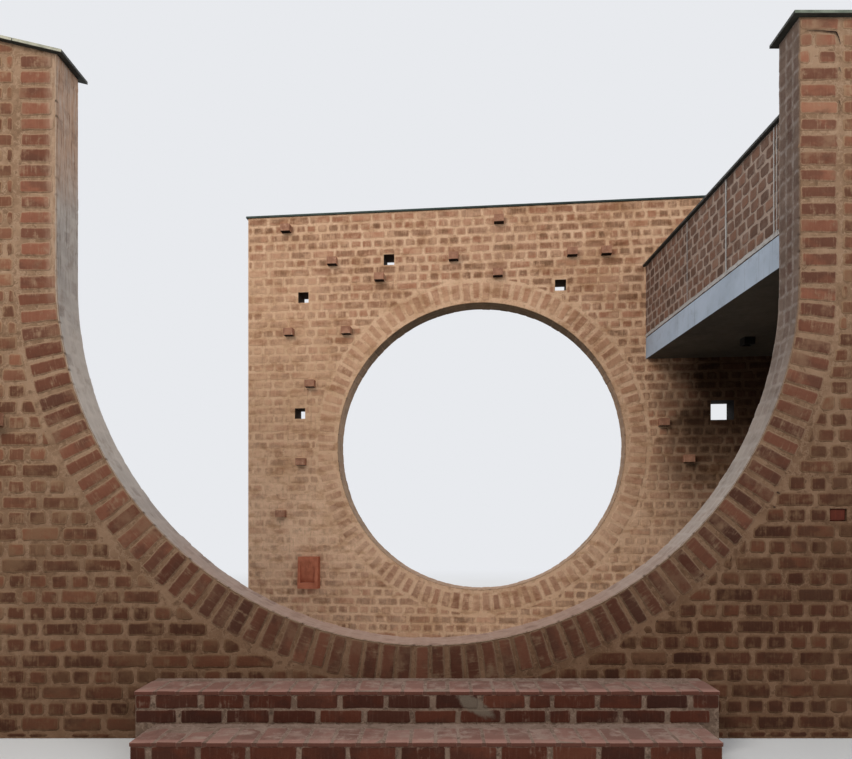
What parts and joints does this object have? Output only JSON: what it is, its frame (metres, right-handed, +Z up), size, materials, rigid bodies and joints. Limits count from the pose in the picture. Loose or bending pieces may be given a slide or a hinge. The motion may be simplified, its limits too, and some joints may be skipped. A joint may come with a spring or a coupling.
{
  "type": "moon gate",
  "caption": "Brick moon gate: an open-topped ring wall with steps, and behind it a wall with a full round opening, joined by a flat-roofed wing.",
  "frame": {"origin": "on the ground under the axis of the front ring, halfway through the front wall", "axes": "+X to the right seen from the steps, along the front wall; +Y away from the steps, into the court; +Z up"},
  "size_m": [8.17, 4.1991, 4.58],
  "materials": {
    "front_brick": "matt handmade brick with thick buff-pink mortar",
    "ring_brick": "matt handmade brick laid on edge, mortar-washed reveal",
    "step_brick": "matt handmade brick, worn treads",
    "rear_brick": "matt handmade brick, thick pale mortar",
    "rear_ring_brick": "matt handmade brick laid on edge",
    "wing_brick": "matt handmade brick with pale joint lines",
    "slate": "dark riven stone with a pale weathered top",
    "terracotta": "unglazed fired clay",
    "concrete": "smooth cast concrete, cool grey",
    "dark_metal": "satin black paint"
  },
  "bodies": {
    "root": {"front_base": "front_brick", "front_spandrel_left": "front_brick", "front_spandrel_right": "front_brick", "front_wall_left": "front_brick", "front_wall_right": "front_brick", "front_jamb_left": "ring_brick", "front_jamb_right": "ring_brick", "front_ring_1": "ring_brick", "front_ring_2": "ring_brick", "front_ring_3": "ring_brick", "front_ring_4": "ring_brick", "front_ring_5": "ring_brick", "front_ring_6": "ring_brick", "front_coping_left": "slate", "front_coping_right": "slate", "front_projecting_brick": "front_brick", "lower_riser": "step_brick", "lower_tread": "step_brick", "upper_riser": "step_brick", "upper_tread": "step_brick", "rear_base": "rear_brick", "rear_pier_left": "rear_brick", "rear_wall_right": "rear_brick", "rear_top_band": "rear_brick", "rear_spandrel_1": "rear_brick", "rear_spandrel_2": "rear_brick", "rear_spandrel_3": "rear_brick", "rear_spandrel_4": "rear_brick", "rear_ring_1": "rear_ring_brick", "rear_ring_2": "rear_ring_brick", "rear_ring_3": "rear_ring_brick", "rear_ring_4": "rear_ring_brick", "rear_ring_5": "rear_ring_brick", "rear_ring_6": "rear_ring_brick", "rear_coping": "slate", "rear_projecting_bricks": "rear_brick", "terracotta_hood": "terracotta", "wing_slab": "concrete", "soffit_lamp": "dark_metal", "wing_parapet": "wing_brick", "wing_parapet_coping": "slate", "wing_end_wall": "wing_brick", "wing_end_parapet": "wing_brick", "wing_end_coping": "slate"}
  },
  "joints": []
}
